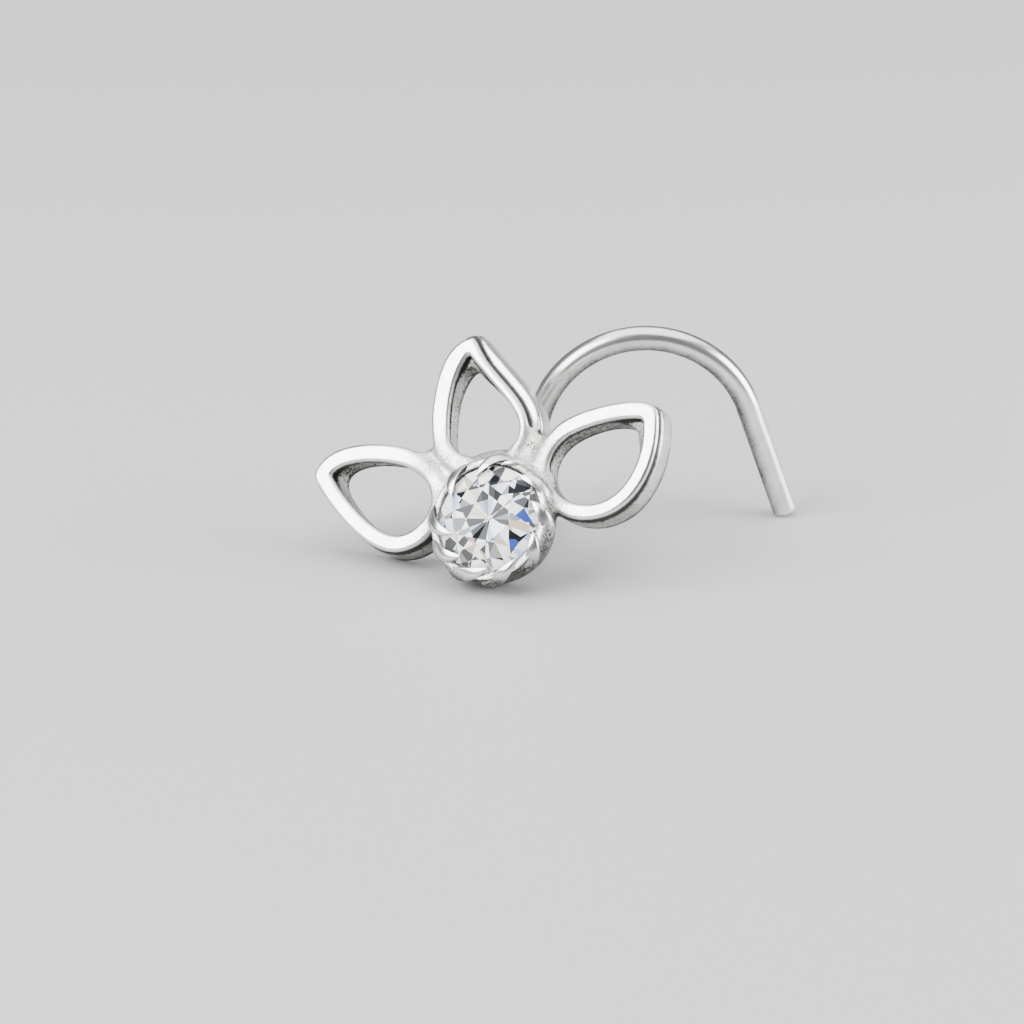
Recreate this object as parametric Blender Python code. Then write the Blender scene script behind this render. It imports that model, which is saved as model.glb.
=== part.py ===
# Nose stud with a hooked wire: a cast silver head of three open petals round a claw-set brilliant,
# with a round wire soldered to its back. It lies as it would by itself: on the back edge of the
# stone's cup, on its lowest petal and on the cut end of the wire. Metres, +Z up.
import math

import bmesh
import bpy
import numpy as np
from mathutils import Matrix

MM = 0.001

# Stone
STONE_DIAMETER = 2.75 * MM
TABLE_SHARE = 0.56
CROWN_HEIGHT = 0.40 * MM
GIRDLE_HEIGHT = 0.07 * MM
PAVILION_DEPTH = 1.15 * MM
MAIN_FACETS = 8
STAR_SHARE = 0.50
LOWER_HALF_SHARE = 0.22

# Cup round the stone
SEAT_GAP = 0.04 * MM
RIM_WALL = 0.17 * MM
CUP_BACK_RADIUS = 1.31 * MM
CUP_FLOOR = 0.22 * MM
CUP_EDGE = 0.06 * MM
CUP_SIDES = 48
# outline of the cup's wall: height as a share of the girdle's, swell as a share from back to rim radius
CUP_SWELL = ((0.36, 0.55), (0.64, 0.92), (0.90, 1.0))

# Claws: crescent leaves that lean over the crown, one after another round the rim
CLAW_WIDTH = 0.40 * MM
CLAW_THICKNESS = 0.15 * MM
CLAW_GAP = 0.05 * MM
CLAW_ROOT_DEPTH = 0.35 * MM
CLAW_SWEEP = math.radians(46)
CLAW_STEPS = 10
# a claw stands up this share of its length before it leans in, and its face turns from foot to tip tilt
CLAW_UPRIGHT_SHARE = 0.15
CLAW_LEAN_CURVE = 1.6
CLAW_RISE_CURVE = 2.6
CLAW_FOOT_TILT = math.radians(5)
CLAW_TIP_TILT = math.radians(60)
# its width follows a sine wave between these two phases, and it thins from its foot to its tip
CLAW_WIDTH_PHASES = (0.22, 0.98)
CLAW_NARROWEST = 0.10
CLAW_TIP_THICKNESS_SHARE = 0.35
# its lens-like section as shares of half width and half thickness
CLAW_SECTION = ((1, 0), (0.5, 0.9), (-0.3, 1.0), (-1, 0), (-0.5, -1), (0.5, -1))
# one row a claw, not quite even: turn of its tip in degrees, and its tip's radius as a share of the stone's
CLAWS = (
    (28, 0.90), (63, 0.90), (112, 0.80), (160, 0.78), (208, 0.70),
    (248, 0.81), (286, 0.88), (322, 0.90), (354, 0.86),
)

# Petals
PETAL_REACH = 5.00 * MM
PETAL_SPAN = 2.50 * MM
PETAL_DEPTH = 0.91 * MM
PETAL_BACK = 0.05 * MM
STRIP_WIDTH = 0.40 * MM
STRIP_ROUND = 0.09 * MM
STRIP_CHAMFER = 0.045 * MM
MITRE_LIMIT = 2.0
# metal left inside a petal's tip, as a multiple of the strip's own inner corner
TIP_FILL = 1.6
PETAL_STEPS = 9
# one row a petal: its turn in degrees, reach, root and belly places as shares of PETAL_REACH,
# half widths as shares of PETAL_SPAN, the angle of each side at the tip in degrees, and how far
# that angle holds, as a share of the stretch from belly to tip
PETAL_COLUMNS = ("turn", "reach", "root", "left", "left_at", "right", "right_at",
                 "left_tip", "right_tip", "left_hold", "right_hold")
PETALS = {
    "left": (177.1, 1.046, 0.326, 0.508, 0.552, 0.432, 0.628, 46, 85, 0.28, 0.34),
    "middle": (114.6, 0.978, 0.294, 0.504, 0.498, 0.460, 0.476, 85, 16, 0.30, 0.41),
    "right": (46.1, 0.978, 0.300, 0.420, 0.540, 0.596, 0.596, 74, 65, 0.22, 0.60),
}
BELLY_HOLD = 0.30
ROUND_HANDLE = 0.552

# Webs of metal in the notches between neighbouring petals
WEB_FRONT = 0.80 * MM
WEB_BACK = 0.11 * MM
WEB_PAIRS = (("left", "middle", 0.97), ("middle", "right", 0.93))

# Wire
WIRE_DIAMETER = 0.64 * MM
WIRE_SIDES = 14
STUB_LENGTH = 0.60 * MM
STUB_RISE = 0.35 * MM
STUB_SINK = 0.12 * MM
POST_RUN = 3.16 * MM
POST_DRIFT = 0.33 * MM
HOOK_RADIUS = 2.85 * MM
HOOK_CENTRE_HEIGHT = 2.06 * MM
LEG_LEAN = math.radians(19.4)
STUB_BEND = 0.55 * MM
POST_BEND = 0.85 * MM
WIRE_STEP = 0.30 * MM

# How the head lies: leaning back from upright, and turned about the vertical
HEAD_LEAN = math.radians(33.7)
HEAD_TURN = math.radians(-28.9)
ROLL_RANGE = math.radians(6)
ROLL_ROUNDS = 40

SHARP_ANGLE = math.radians(35)

SILVER = (0.86, 0.85, 0.83, 1.0)
CLEAR_STONE = (0.93, 0.95, 1.0, 1.0)

STONE_RADIUS = STONE_DIAMETER / 2
TABLE_RADIUS = STONE_RADIUS * TABLE_SHARE
RIM_RADIUS = STONE_RADIUS + SEAT_GAP + RIM_WALL
WIRE_RADIUS = WIRE_DIAMETER / 2
PAVILION_SLOPE = PAVILION_DEPTH / STONE_RADIUS
CROWN_SLOPE = CROWN_HEIGHT / (STONE_RADIUS - TABLE_RADIUS)
SEAT_DROP = SEAT_GAP * math.hypot(1, PAVILION_SLOPE)
GIRDLE_LOW = CUP_FLOOR + SEAT_DROP + PAVILION_DEPTH
GIRDLE_TOP = GIRDLE_LOW + GIRDLE_HEIGHT
RIM_TOP = GIRDLE_TOP + SEAT_GAP


def clear_scene():
    for obj in list(bpy.data.objects):
        bpy.data.objects.remove(obj, do_unlink=True)


def material(name, colour, roughness, metallic, transmission=0.0):
    mat = bpy.data.materials.new(name)
    mat.use_nodes = True
    shader = mat.node_tree.nodes["Principled BSDF"]
    shader.inputs["Base Color"].default_value = colour
    shader.inputs["Roughness"].default_value = roughness
    shader.inputs["Metallic"].default_value = metallic
    shader.inputs["Transmission Weight"].default_value = transmission
    mat.diffuse_color = colour
    return mat


def empty(name, parent=None):
    obj = bpy.data.objects.new(name, None)
    bpy.context.collection.objects.link(obj)
    obj.parent = parent
    return obj


def mesh_object(name, verts, faces, mat, parent, smooth=True):
    mesh = bpy.data.meshes.new(name)
    mesh.from_pydata([tuple(map(float, v)) for v in verts], [], faces)
    bm = bmesh.new()
    bm.from_mesh(mesh)
    bmesh.ops.recalc_face_normals(bm, faces=bm.faces)
    bm.to_mesh(mesh)
    bm.free()
    mesh.materials.append(mat)
    if smooth:
        mesh.shade_smooth()
        mesh.set_sharp_from_angle(angle=SHARP_ANGLE)
    obj = bpy.data.objects.new(name, mesh)
    bpy.context.collection.objects.link(obj)
    obj.parent = parent
    return obj


def skin_rings(rings, closed):
    """Faces over rings of points with the same count, capped at both ends unless closed."""
    count = len(rings[0])
    verts = [point for ring in rings for point in ring]
    faces = []
    pairs = len(rings) if closed else len(rings) - 1
    for i in range(pairs):
        a = i * count
        b = ((i + 1) % len(rings)) * count
        for k in range(count):
            n = (k + 1) % count
            faces.append((a + k, a + n, b + n, b + k))
    if not closed:
        faces.append(tuple(range(count))[::-1])
        faces.append(tuple(len(verts) - count + k for k in range(count)))
    return verts, faces


def turned(profile, sides):
    """Rings of a profile of (radius, height) rows turned about the stone's axis."""
    turns = np.arange(sides) * 2 * math.pi / sides
    return [[(r * math.cos(a), r * math.sin(a), z) for a in turns] for r, z in profile]


def bezier(a, b, c, d, steps):
    t = np.linspace(0, 1, steps, endpoint=False)[:, None]
    a, b, c, d = (np.array(p, float) for p in (a, b, c, d))
    return a * (1 - t) ** 3 + 3 * b * t * (1 - t) ** 2 + 3 * c * t * t * (1 - t) + d * t ** 3


def round_brilliant():
    """Table, crown, girdle and pavilion of a round brilliant, girdle foot at GIRDLE_LOW."""
    step = 2 * math.pi / MAIN_FACETS
    star_radius = TABLE_RADIUS + STAR_SHARE * (STONE_RADIUS - TABLE_RADIUS)
    star_height = CROWN_HEIGHT - CROWN_SLOPE * (star_radius * math.cos(step / 2) - TABLE_RADIUS)
    lower_radius = LOWER_HALF_SHARE * STONE_RADIUS
    lower_height = PAVILION_SLOPE * lower_radius * math.cos(step / 2) - PAVILION_DEPTH

    def ring(radius, height, count, offset):
        turns = [offset + i * 2 * math.pi / count for i in range(count)]
        return [(radius * math.cos(a), radius * math.sin(a), GIRDLE_LOW + height) for a in turns]

    m = MAIN_FACETS
    verts = ring(TABLE_RADIUS, GIRDLE_HEIGHT + CROWN_HEIGHT, m, 0)
    verts += ring(star_radius, GIRDLE_HEIGHT + star_height, m, step / 2)
    verts += ring(STONE_RADIUS, GIRDLE_HEIGHT, 2 * m, 0)
    verts += ring(STONE_RADIUS, 0, 2 * m, 0)
    verts += ring(lower_radius, lower_height, m, step / 2)
    verts.append((0, 0, GIRDLE_LOW - PAVILION_DEPTH))
    star, top, low, half, culet = m, 2 * m, 4 * m, 6 * m, 7 * m
    faces = [tuple(range(m))]
    for i in range(m):
        n = (i + 1) % m
        before = (i - 1) % m
        main, between, after = 2 * i, 2 * i + 1, (2 * i + 2) % (2 * m)
        faces.append((i, star + i, n))
        faces.append((i, star + before, top + main, star + i))
        faces.append((star + i, top + main, top + between))
        faces.append((star + i, top + between, top + after))
        faces.append((top + main, low + main, low + between, top + between))
        faces.append((top + between, low + between, low + after, top + after))
        faces.append((half + i, low + between, low + main))
        faces.append((half + i, low + after, low + between))
        faces.append((half + before, half + i, low + main))
        faces.append((half + i, half + before, culet))
    return verts, faces


def cup():
    """The cup: a turned wall with a cone inside that follows the pavilion a seat gap away."""
    inner = STONE_RADIUS + SEAT_GAP
    shoulder = GIRDLE_LOW + PAVILION_SLOPE * SEAT_GAP - SEAT_DROP
    profile = [(CUP_BACK_RADIUS - CUP_EDGE, 0), (CUP_BACK_RADIUS, CUP_EDGE)]
    for up, swell in CUP_SWELL:
        profile.append((CUP_BACK_RADIUS + (RIM_RADIUS - CUP_BACK_RADIUS) * swell, GIRDLE_LOW * up))
    profile += [(RIM_RADIUS - CUP_EDGE / 2, RIM_TOP), (inner, RIM_TOP), (inner, shoulder)]
    rings = turned(profile, CUP_SIDES)
    verts, faces = skin_rings(rings, closed=False)
    faces.pop()
    last = len(verts) - CUP_SIDES
    verts.append((0, 0, CUP_FLOOR))
    for k in range(CUP_SIDES):
        faces.append((last + k, last + (k + 1) % CUP_SIDES, len(verts) - 1))
    return verts, faces


def claw(tip_turn, tip_share):
    """A leaf from the cup's wall up over the rim: it turns about the axis while it leans inwards."""
    t = np.linspace(0, 1, CLAW_STEPS)
    half = CLAW_THICKNESS / 2
    turn = tip_turn - CLAW_SWEEP * (1 - t)
    tip_radius = STONE_RADIUS * tip_share
    tip_height = GIRDLE_TOP + CROWN_SLOPE * (STONE_RADIUS - tip_radius) + CLAW_GAP + half
    foot_height = RIM_TOP - CLAW_ROOT_DEPTH
    lean = np.clip((t - CLAW_UPRIGHT_SHARE) / (1 - CLAW_UPRIGHT_SHARE), 0, 1) ** CLAW_LEAN_CURVE
    radius = RIM_RADIUS + (tip_radius - RIM_RADIUS) * lean
    rise = 1 - (1 - t) ** CLAW_RISE_CURVE
    height = foot_height + (tip_height - foot_height) * rise
    path = np.stack([radius * np.cos(turn), radius * np.sin(turn), height], 1)
    along = np.gradient(path, axis=0)
    along /= np.linalg.norm(along, axis=1)[:, None]
    tilt = CLAW_FOOT_TILT + (CLAW_TIP_TILT - CLAW_FOOT_TILT) * rise
    out = np.stack([np.cos(tilt) * np.cos(turn), np.cos(tilt) * np.sin(turn), np.sin(tilt)], 1)
    out -= along * (out * along).sum(1)[:, None]
    out /= np.linalg.norm(out, axis=1)[:, None]
    across = np.cross(along, out)
    start, end = CLAW_WIDTH_PHASES
    width = CLAW_WIDTH / 2 * np.clip(np.sin(math.pi * (start + (end - start) * t)), CLAW_NARROWEST, 1)
    thick = half * (1 - (1 - CLAW_TIP_THICKNESS_SHARE) * t * t)
    rings = [
        [path[i] + across[i] * x * width[i] + out[i] * y * thick[i] for x, y in CLAW_SECTION]
        for i in range(CLAW_STEPS)
    ]
    return skin_rings(rings, closed=False)


def petal_sizes(name):
    row = dict(zip(PETAL_COLUMNS, PETALS[name]))
    sizes = {"turn": math.radians(row["turn"])}
    for key in ("reach", "root", "left_at", "right_at"):
        sizes[key] = row[key] * PETAL_REACH
    for key in ("left", "right"):
        sizes[key] = row[key] * PETAL_SPAN
    for key in ("left_tip", "right_tip"):
        sizes[key] = math.radians(row[key])
    for key in ("left", "right"):
        sizes[key + "_handle"] = row[key + "_hold"] * (sizes["reach"] - sizes[key + "_at"])
    return sizes


def petal_side(sizes, side):
    """Middle line of one side of a petal, from its tip round its belly to its root."""
    sign = 1 if side == "left" else -1
    half, belly, slant = sizes[side], sizes[side + "_at"], sizes[side + "_tip"]
    reach, root = sizes["reach"], sizes["root"]
    handle = sizes[side + "_handle"]
    upper = bezier(
        (reach, 0),
        (reach - handle * math.cos(slant), handle * math.sin(slant)),
        (belly + BELLY_HOLD * (reach - belly), half),
        (belly, half),
        PETAL_STEPS,
    )
    lower = bezier(
        (belly, half),
        (belly - ROUND_HANDLE * (belly - root), half),
        (root, ROUND_HANDLE * half),
        (root, 0),
        PETAL_STEPS,
    )
    line = np.vstack([upper, lower, [(root, 0)]])
    line[:, 1] *= sign
    return line


def turn_points(points, angle):
    c, s = math.cos(angle), math.sin(angle)
    return points @ np.array([[c, s], [-s, c]])


def petal(name):
    """A petal's strip: a rounded upright section carried round a closed teardrop line."""
    sizes = petal_sizes(name)
    left = petal_side(sizes, "left")
    right = petal_side(sizes, "right")
    line = turn_points(np.vstack([left, right[-2:0:-1]]), sizes["turn"])
    ahead = np.roll(line, -1, axis=0) - line
    ahead /= np.linalg.norm(ahead, axis=1)[:, None]
    behind = np.roll(ahead, 1, axis=0)
    normal = np.stack([ahead[:, 1] + behind[:, 1], -ahead[:, 0] - behind[:, 0]], 1)
    normal /= np.linalg.norm(normal, axis=1)[:, None]
    closeness = (normal * np.stack([ahead[:, 1], -ahead[:, 0]], 1)).sum(1)
    outward = normal / np.clip(closeness, 1 / MITRE_LIMIT, 1)[:, None]
    half, low, top = STRIP_WIDTH / 2, PETAL_BACK, PETAL_BACK + PETAL_DEPTH
    edge = [(half - STRIP_CHAMFER, low), (half, low + STRIP_CHAMFER)]
    for a in (0, math.pi / 4, math.pi / 2):
        edge.append((half - STRIP_ROUND * (1 - math.cos(a)), top - STRIP_ROUND * (1 - math.sin(a))))
    section = edge + [(-s, z) for s, z in reversed(edge)]
    inward = outward.copy()
    inward[0] *= TIP_FILL
    rings = [
        [(*(line[i] + (outward[i] if s > 0 else inward[i]) * s), z) for s, z in section]
        for i in range(len(line))
    ]
    return skin_rings(rings, closed=True)


def web(first, second, reach_share):
    """A plate between two petals' middle lines, from their roots in the cup to the notch."""
    a, b = petal_sizes(first), petal_sizes(second)
    line_a = turn_points(petal_side(a, "right")[PETAL_STEPS:], a["turn"])
    line_b = turn_points(petal_side(b, "left")[PETAL_STEPS:], b["turn"])
    notch = (line_a[0] + line_b[0]) / 2 * reach_share
    outline = [tuple(point) for point in (*line_a[::-1], notch, *line_b)]
    rings = [[(x, y, z) for x, y in outline] for z in (WEB_BACK, WEB_FRONT)]
    return skin_rings(rings, closed=False)


def rounded_corners(corners, radii, steps=6):
    """A path through corner points, each inner corner replaced by an arc of its own radius."""
    points = [corners[0]]
    for before, corner, after, radius in zip(corners, corners[1:], corners[2:], radii):
        into = (corner - before) / np.linalg.norm(corner - before)
        away = (after - corner) / np.linalg.norm(after - corner)
        bend = math.acos(np.clip(into @ away, -1, 1))
        back = radius * math.tan(bend / 2)
        start = corner - into * back
        side = away - into * (into @ away)
        side /= np.linalg.norm(side)
        for k in range(steps + 1):
            a = bend * k / steps
            points.append(start + into * radius * math.sin(a) + side * radius * (1 - math.cos(a)))
    points.append(corners[-1])
    return points


def wire_path(head_axes, head_place):
    """Stub square out of the cup's back, post straight back, then the round hook and its leg."""
    right, up, front = head_axes
    foot = head_place + up * STUB_RISE
    stub_end = foot - front * STUB_LENGTH
    plane_y = stub_end[1] + POST_RUN
    left_x = stub_end[0] + POST_DRIFT
    corner = np.array([left_x, plane_y, stub_end[2]])
    hook_start = np.array([left_x, plane_y, HOOK_CENTRE_HEIGHT])
    corners = [foot + front * STUB_SINK, stub_end, corner, hook_start]
    path = rounded_corners(corners, (STUB_BEND, POST_BEND))
    arc_turn = math.pi - LEG_LEAN
    arc_steps = round(HOOK_RADIUS * arc_turn / WIRE_STEP)
    centre = hook_start + np.array([HOOK_RADIUS, 0, 0])
    for k in range(1, arc_steps + 1):
        a = math.pi - arc_turn * k / arc_steps
        path.append(centre + HOOK_RADIUS * np.array([math.cos(a), 0, math.sin(a)]))
    leg = np.array([math.sin(LEG_LEAN), 0, -math.cos(LEG_LEAN)])
    leg_length = (path[-1][2] - WIRE_RADIUS * math.sin(LEG_LEAN)) / math.cos(LEG_LEAN)
    path.append(path[-1] + leg * leg_length)
    return np.array(path)


def wire_tube(path):
    """Round tube along the path, its rings carried from one to the next without twisting."""
    along = np.gradient(path, axis=0)
    along[0], along[-1] = path[1] - path[0], path[-1] - path[-2]
    along /= np.linalg.norm(along, axis=1)[:, None]
    side = np.cross(along[0], (1.0, 0.0, 0.0))
    turns = np.arange(WIRE_SIDES) * 2 * math.pi / WIRE_SIDES
    rings = []
    for point, direction in zip(path, along):
        side = side - direction * (side @ direction)
        side /= np.linalg.norm(side)
        other = np.cross(direction, side)
        rings.append([point + WIRE_RADIUS * (math.cos(a) * side + math.sin(a) * other) for a in turns])
    return skin_rings(rings, closed=False)


def head_rotation(roll):
    lean = Matrix.Rotation(math.pi / 2 - HEAD_LEAN, 3, "X")
    return np.array(Matrix.Rotation(HEAD_TURN, 3, "Z") @ lean @ Matrix.Rotation(roll, 3, "Z"))


def resting_roll(cup_points, petal_points):
    """Roll of the head about the stone's axis at which the cup and the lowest petal both touch."""
    low, high = -ROLL_RANGE, ROLL_RANGE
    for _ in range(ROLL_ROUNDS):
        roll = (low + high) / 2
        rotation = head_rotation(roll)
        petal_low = (petal_points @ rotation.T)[:, 2].min()
        cup_low = (cup_points @ rotation.T)[:, 2].min()
        if petal_low > cup_low:
            low = roll
        else:
            high = roll
    return roll


def fuse(body, pieces):
    """Joins the pieces to the body, as casting and solder do, and hides the pieces themselves."""
    for piece in pieces:
        union = body.modifiers.new("join " + piece.name, "BOOLEAN")
        union.operation = "UNION"
        union.solver = "EXACT"
        union.object = piece
        piece.hide_render = True
        piece.display_type = "WIRE"


def main():
    clear_scene()
    silver = material("silver", SILVER, 0.16, 1.0)
    clear = material("clear stone", CLEAR_STONE, 0.02, 0.0, 0.9)
    lying = empty("lying")
    head = empty("head", lying)
    body = mesh_object("flower_hook_body", *cup(), silver, head)
    parts = [mesh_object("petal " + name, *petal(name), silver, head) for name in PETALS]
    parts += [mesh_object(f"web {a} {b}", *web(a, b, share), silver, head) for a, b, share in WEB_PAIRS]
    for number, (degrees, share) in enumerate(CLAWS):
        shape = claw(math.radians(degrees), share)
        parts.append(mesh_object(f"claw {number + 1}", *shape, silver, head))
    stone = mesh_object("round_stone", *round_brilliant(), clear, head, smooth=False)

    points = {obj.name: np.array([v.co for v in obj.data.vertices]) for obj in parts + [body]}
    roll = resting_roll(points[body.name], points["petal left"])
    rotation = head_rotation(roll)
    head_height = -min((p @ rotation.T)[:, 2].min() for p in points.values())
    head_place = np.array([0, 0, head_height])
    wire = mesh_object("wire", *wire_tube(wire_path(rotation.T, head_place)), silver, lying)
    parts.append(wire)
    fuse(body, parts)

    placed = [p @ rotation.T for p in points.values()]
    placed.append(np.array([v.co for v in wire.data.vertices]))
    cloud = np.vstack(placed)
    middle = (cloud.min(0) + cloud.max(0)) / 2
    head.rotation_euler = Matrix(rotation.tolist()).to_euler()
    head.location = tuple(head_place)
    lying.location = (-middle[0], -middle[1], 0)
    bpy.context.view_layer.update()
    return body, stone


main()
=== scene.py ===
import math

import bmesh
import bpy
import numpy as np
from mathutils import Matrix, Vector


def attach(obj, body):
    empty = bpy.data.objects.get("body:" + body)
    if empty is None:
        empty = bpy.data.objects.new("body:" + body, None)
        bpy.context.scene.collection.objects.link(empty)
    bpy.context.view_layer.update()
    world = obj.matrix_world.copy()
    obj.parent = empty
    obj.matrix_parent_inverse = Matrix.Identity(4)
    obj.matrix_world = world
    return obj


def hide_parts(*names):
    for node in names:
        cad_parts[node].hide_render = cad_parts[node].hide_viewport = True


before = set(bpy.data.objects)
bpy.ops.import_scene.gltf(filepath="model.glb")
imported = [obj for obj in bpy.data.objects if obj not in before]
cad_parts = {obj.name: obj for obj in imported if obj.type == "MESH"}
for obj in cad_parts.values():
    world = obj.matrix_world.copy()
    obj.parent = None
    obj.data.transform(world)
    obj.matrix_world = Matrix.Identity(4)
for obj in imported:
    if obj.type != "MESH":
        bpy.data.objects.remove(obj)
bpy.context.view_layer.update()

mm = 0.001
sharpDegrees = 50  # edges that turn by more than this stay sharp

print("frame loaded")

# the flower's head leans back and is turned about the vertical, in degrees; the stone's tip lies
# this far above the head's flat back, in mm
head = {"lean": 33.7, "turn": -28.9, "stoneTip": 0.272}

headTurn = Matrix.Rotation(math.radians(head["turn"]), 3, "Z")
headLean = Matrix.Rotation(math.pi / 2 - math.radians(head["lean"]), 3, "X")
headAxes = np.array(headTurn @ headLean)
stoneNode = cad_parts["round_stone"].data.vertices
stoneCorners = np.array([corner.co[:] for corner in stoneNode])
stoneTip = stoneCorners[np.argmin(stoneCorners @ headAxes[:, 2])]
headPlace = stoneTip - headAxes[:, 2] * head["stoneTip"] * mm


def fromHead(points):  # mm beside, above and in front of the head's back, turned and moved into the frame
    return np.asarray(points) * mm @ headAxes.T + headPlace


def gridFaces(rows, columns, loopRows=False):
    # quads between neighbouring points of a row of rings; loopRows joins the last ring to the first
    i = np.arange(rows if loopRows else rows - 1)[:, None]
    j = np.arange(columns)[None, :]
    down, across = (i + 1) % rows, (j + 1) % columns
    return np.stack([i * columns + j, i * columns + across, down * columns + across, down * columns + j],
                    -1).reshape(-1, 4).tolist()


def ramp(values, low, high):  # 0 at low, 1 at high, straight between them and level beyond
    return np.clip((values - low) / (high - low), 0, 1)


def endCaps(rows, columns):  # one flat face over the first ring of a grid and one over the last
    last = (rows - 1) * columns
    return [list(range(columns))[::-1], list(range(last, last + columns))]


def outward(mesh):  # welds doubles and turns every face outwards
    work = bmesh.new()
    work.from_mesh(mesh)
    bmesh.ops.remove_doubles(work, verts=work.verts, dist=1e-7)
    bmesh.ops.recalc_face_normals(work, faces=work.faces)
    work.to_mesh(mesh)
    work.free()


def makePiece(name, points, faces, material, stands, marks=None, smooth=True):
    mesh = bpy.data.meshes.new(name)
    mesh.from_pydata(np.asarray(points).tolist(), [], faces)
    for mark, values in (marks or {}).items():
        layer = mesh.attributes.new(mark, "FLOAT", "POINT")
        layer.data.foreach_set("value", np.asarray(values, float).ravel())
    outward(mesh)
    mesh.materials.append(material)
    if smooth:
        mesh.shade_smooth()
        mesh.set_sharp_from_angle(angle=math.radians(sharpDegrees))
    piece = bpy.data.objects.new(name, mesh)
    bpy.context.collection.objects.link(piece)
    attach(piece, "root")
    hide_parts(stands)
    return piece


# Materials

class Socket:  # one output socket of a material, for writing its maths as expressions

    def __init__(self, tree, socket):
        self.tree, self.socket = tree, socket

    def node(self, kind, settings=None, outlet=0, **sockets):
        # a new node; its inputs are named as in Blender, with _ for a space, or i and their number
        made = self.tree.nodes.new(kind)
        for name, value in (settings or {}).items():
            setattr(made, name, value)
        for name, value in sockets.items():
            inlet = made.inputs[int(name[1:]) if name[1:].isdigit() else name.replace("_", " ")]
            if isinstance(value, Socket):
                self.tree.links.new(value.socket, inlet)
            else:
                inlet.default_value = value
        return Socket(self.tree, made.outputs[outlet])

    def maths(self, operation, *values, clamp=False):
        return self.node("ShaderNodeMath", {"operation": operation, "use_clamp": clamp},
                         **{f"i{k}": value for k, value in enumerate(values)})

    def __add__(self, other): return self.maths("ADD", self, other)
    def __radd__(self, other): return self.maths("ADD", other, self)
    def __sub__(self, other): return self.maths("SUBTRACT", self, other)
    def __rsub__(self, other): return self.maths("SUBTRACT", other, self)
    def __mul__(self, other): return self.maths("MULTIPLY", self, other)
    def __rmul__(self, other): return self.maths("MULTIPLY", other, self)

    def clamped(self):
        return self.maths("ADD", self, 0.0, clamp=True)

    def step(self, low, high):  # 0 below low, 1 above high, smooth between them
        return self.node("ShaderNodeMapRange", {"interpolation_type": "SMOOTHSTEP"},
                         Value=self, From_Min=low, From_Max=high)

    def blend(self, first, second):  # first colour where self is 0, second where it is 1
        return self.node("ShaderNodeMix", {"data_type": "RGBA"}, 2, i0=self, i6=first, i7=second)

    def noise(self, scale, detail, roughness=0.5):
        return self.node("ShaderNodeTexNoise", Vector=self, Scale=scale, Detail=detail,
                         Roughness=roughness)

    def stretched(self, x, y, z):
        return self.node("ShaderNodeMapping", Vector=self, Scale=(x, y, z))


def newMaterial(name, shown):
    material = bpy.data.materials.new(name)
    material.use_nodes = True
    material.diffuse_color = shown
    tree = material.node_tree
    return material, tree.nodes["Principled BSDF"], Socket(tree, None)


def feed(shader, start, **sockets):
    for name, value in sockets.items():
        socket = shader.inputs[name.replace("_", " ")]
        if isinstance(value, Socket):
            start.tree.links.new(value.socket, socket)
        else:
            socket.default_value = value


# Silver: one mark says how dark a place is, partly oxide in grooves and hollows and partly painted
# shade; "cast" how much of the rough casting skin it keeps.
# Sizes are scales of noise, pairs are where a step starts and ends, bump is in metres
silverLook = {
    "bright": (0.91, 0.90, 0.88, 1), "dull": (0.66, 0.65, 0.62, 1), "oxideAndShade": (0.03, 0.029, 0.026, 1),
    "grainSize": 15000, "grainRough": 0.65, "patchSize": 2500, "scratchSize": 9000,
    "scratchStretch": (1, 0.12, 0.3), "skinPatches": 1.3, "skinLevel": 0.25,
    "speckle": (0.47, 0.62), "speckleDark": 0.72,
    "edgeGrain": 0.35, "edgePatches": 0.25, "edgeLevel": 0.30, "oxideAndShadeEdge": (0.05, 1.0),
    "patch": (0.40, 0.70), "patchDull": 0.38, "skinDull": 0.8,
    "polish": 0.21, "scratchRough": 0.06, "skinRough": 0.30, "darkRough": 0.2, "darkMatt": 0.4,
    "bump": 9e-6, "bumpStrength": 0.7, "skinBump": 1.8, "grainBump": 0.03, "scratchBump": 0.08,
}


def silverMaterial():
    look = silverLook
    material, shader, start = newMaterial("polishedSilver", look["bright"])
    place = start.node("ShaderNodeTexCoord", None, 3)
    oxideAndShade = start.node("ShaderNodeAttribute", {"attribute_name": "oxideAndShade"}, 2)
    cast = start.node("ShaderNodeAttribute", {"attribute_name": "cast"}, 2)
    grain = place.noise(look["grainSize"], 3, look["grainRough"])
    patches = place.noise(look["patchSize"], 3)
    scratches = place.stretched(*look["scratchStretch"]).noise(look["scratchSize"], 3)
    skin = (cast * (patches * look["skinPatches"] + look["skinLevel"])).clamped()
    speckle = grain.step(*look["speckle"]) * skin
    edge = grain * look["edgeGrain"] + patches * look["edgePatches"] - look["edgeLevel"]
    # the dark mark, oxide and painted shade, frayed at its edge by grain and patches
    oxideAndShadeLevel = (oxideAndShade + edge * (oxideAndShade * 2).clamped()).step(*look["oxideAndShadeEdge"])
    dark = (oxideAndShadeLevel + speckle * look["speckleDark"]).clamped()
    dullness = (skin * look["skinDull"] + patches.step(*look["patch"]) * look["patchDull"]).clamped()
    rough = look["polish"] + scratches * look["scratchRough"] + skin * look["skinRough"]
    height = grain * (skin * look["skinBump"] + look["grainBump"]) + scratches * look["scratchBump"]
    feed(shader, start,
         Base_Color=dark.blend(dullness.blend(look["bright"], look["dull"]), look["oxideAndShade"]),
         Metallic=1 - dark * look["darkMatt"],
         Roughness=(rough + dark * look["darkRough"]).clamped(),
         Normal=start.node("ShaderNodeBump", Strength=look["bumpStrength"], Distance=look["bump"],
                           Height=height))
    return material


# glow is the strength of the painted glow that the shards' painted reflections give off
stoneLook = {"shown": (0.93, 0.95, 1.0, 1), "gloss": 0.06, "mirror": 0.06, "bend": 1.35, "glow": 0.72,
             "sheen": 0.18}


# painted reflections: the shards' tones colour the stone and also give off a painted glow
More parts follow.
